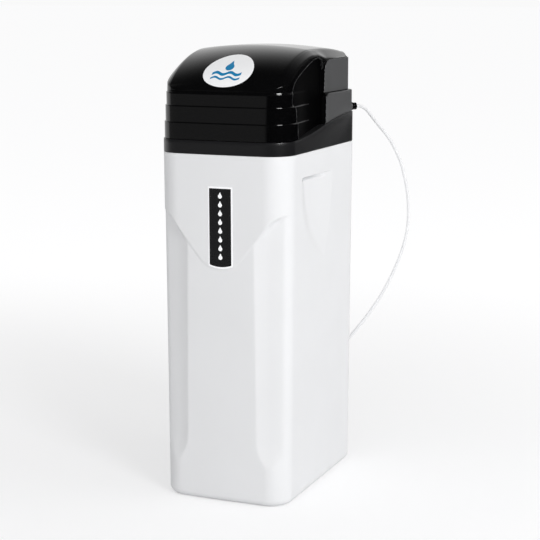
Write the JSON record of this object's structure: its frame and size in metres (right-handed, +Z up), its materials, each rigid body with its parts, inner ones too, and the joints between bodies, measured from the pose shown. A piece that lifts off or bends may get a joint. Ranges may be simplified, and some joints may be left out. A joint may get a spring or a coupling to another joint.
{
  "type": "cabinet water softener",
  "caption": "Free-standing cabinet water softener: fluted white salt cabinet, hinged black domed lid, resin tank, motor-driven piston valve, brine well and looped brine tube.",
  "frame": {"origin": "middle of the cabinet's foot, on the floor", "axes": "+Z up, front towards -Y, +X to the right seen from the front"},
  "size_m": [0.461, 0.5354, 1.08],
  "materials": {
    "white_shell": "fine-textured moulded plastic",
    "black_gloss": "polished black plastic",
    "badge_white": "printed gloss foil",
    "label_black": "printed foil",
    "tank_blue": "wound glass-fibre tank",
    "grey_plastic": "moulded plastic",
    "white_plastic": "moulded plastic",
    "acetal": "natural acetal",
    "steel": "plated steel",
    "brass": "machined brass",
    "rubber": "moulded rubber",
    "board_green": "soldered board",
    "display": "clear window over a dark display",
    "button_grey": "moulded keys",
    "turbine_blue": "moulded plastic",
    "float_orange": "foam float",
    "tube_white": "translucent polyethylene"
  },
  "bodies": {
    "base": {"cabinet": "white_shell", "collar": "black_gloss", "collar_screws": "steel", "rear_housing": "black_gloss", "housing_screws": "steel", "lid_hinge_pins": "steel", "lid_bumpers": "rubber", "front_label": "label_black", "resin_tank": "tank_blue", "tank_boot": "rubber", "riser_tube": "white_plastic", "lower_strainer": "white_plastic", "upper_strainer": "white_plastic", "tank_seal": "rubber", "valve_body": "grey_plastic", "seal_stack": "rubber", "drive_plate": "grey_plastic", "plate_screws": "steel", "drive_motor": "steel", "motor_screws": "steel", "injector_cap": "grey_plastic", "inlet_adapter": "grey_plastic", "outlet_adapter": "grey_plastic", "union_nuts": "black_gloss", "port_washers": "rubber", "turbine_cage": "white_plastic", "drain_elbow": "grey_plastic", "powerhead_cover": "grey_plastic", "panel_bezel": "black_gloss", "display_window": "display", "circuit_board": "board_green", "power_inlet": "grey_plastic", "brine_well": "white_plastic", "safety_valve": "white_plastic", "air_check": "grey_plastic", "salt_plate": "white_plastic", "overflow_elbow": "white_plastic", "overflow_nut": "white_plastic", "line_gland": "black_gloss", "line_gland_nut": "black_gloss", "line_elbow": "white_plastic", "line_elbow_nut": "white_plastic", "brine_line": "tube_white", "valve_line": "tube_white", "well_line": "tube_white"},
    "lid": {"lid": "black_gloss", "lid_badge": "badge_white"},
    "drive_gear": {"drive_gear": "acetal"},
    "reduction_gear": {"reduction_gear": "acetal"},
    "motor_pinion": {"motor_pinion": "brass"},
    "main_piston": {"main_piston": "acetal"},
    "meter_turbine": {"meter_turbine": "turbine_blue"},
    "button_1": {"button_1": "button_grey"},
    "button_2": {"button_2": "button_grey"},
    "button_3": {"button_3": "button_grey"},
    "button_4": {"button_4": "button_grey"},
    "float": {"float": "float_orange"},
    "well_cap": {"well_cap": "white_plastic"},
    "check_ball": {"check_ball": "white_plastic"}
  },
  "joints": [
    {"name": "lid_hinge", "type": "hinge", "parent": "base", "child": "lid", "pos_m": [0, 0.2381, 1.042], "axis": [-1, 0, 0], "range_deg": [0, 110]},
    {"name": "drive_gear_turn", "type": "hinge", "parent": "base", "child": "drive_gear", "pos_m": [0, 0.02, 0.85], "axis": [0, 1, 0], "range_deg": [0, 1800]},
    {"name": "reduction_gear_turn", "type": "hinge", "parent": "base", "child": "reduction_gear", "pos_m": [0.042, 0.02, 0.85], "axis": [0, 1, 0], "range_deg": [-2401, 1]},
    {"name": "motor_pinion_turn", "type": "hinge", "parent": "base", "child": "motor_pinion", "pos_m": [0.066, 0.02, 0.85], "axis": [0, 1, 0], "range_deg": [-1, 7201]},
    {"name": "piston_slide", "type": "slide", "parent": "base", "child": "main_piston", "axis": [0, 1, 0], "range_m": [-0.0001, 0.0401]},
    {"name": "turbine_spin", "type": "hinge", "parent": "base", "child": "meter_turbine", "pos_m": [-0.04, 0.22, 0.865], "axis": [0, 1, 0], "continuous": true},
    {"name": "button_1_press", "type": "slide", "parent": "base", "child": "button_1", "axis": [0, 0.578, -0.816], "range_m": [0, 0.0015], "stiffness_N_per_m": 400, "springref_m": -0.001},
    {"name": "button_2_press", "type": "slide", "parent": "base", "child": "button_2", "axis": [0, 0.578, -0.816], "range_m": [0, 0.0015], "stiffness_N_per_m": 400, "springref_m": -0.001},
    {"name": "button_3_press", "type": "slide", "parent": "base", "child": "button_3", "axis": [0, 0.578, -0.816], "range_m": [0, 0.0015], "stiffness_N_per_m": 400, "springref_m": -0.001},
    {"name": "button_4_press", "type": "slide", "parent": "base", "child": "button_4", "axis": [0, 0.578, -0.816], "range_m": [0, 0.0015], "stiffness_N_per_m": 400, "springref_m": -0.001},
    {"name": "float_rise", "type": "slide", "parent": "base", "child": "float", "axis": [0, 0, 1], "range_m": [0, 0.12]},
    {"name": "well_cap_lift", "type": "slide", "parent": "base", "child": "well_cap", "axis": [0, 0, 1], "range_m": [0, 0.06]},
    {"name": "check_ball_lift", "type": "slide", "parent": "base", "child": "check_ball", "axis": [0, 0, 1], "range_m": [0, 0.008]}
  ],
  "couplings": [
    {"joint": "reduction_gear_turn", "follows": "drive_gear_turn", "ratio": -1.3333},
    {"joint": "motor_pinion_turn", "follows": "drive_gear_turn", "ratio": 4},
    {"joint": "piston_slide", "follows": "drive_gear_turn", "m_per_rad": 0.0012732}
  ]
}
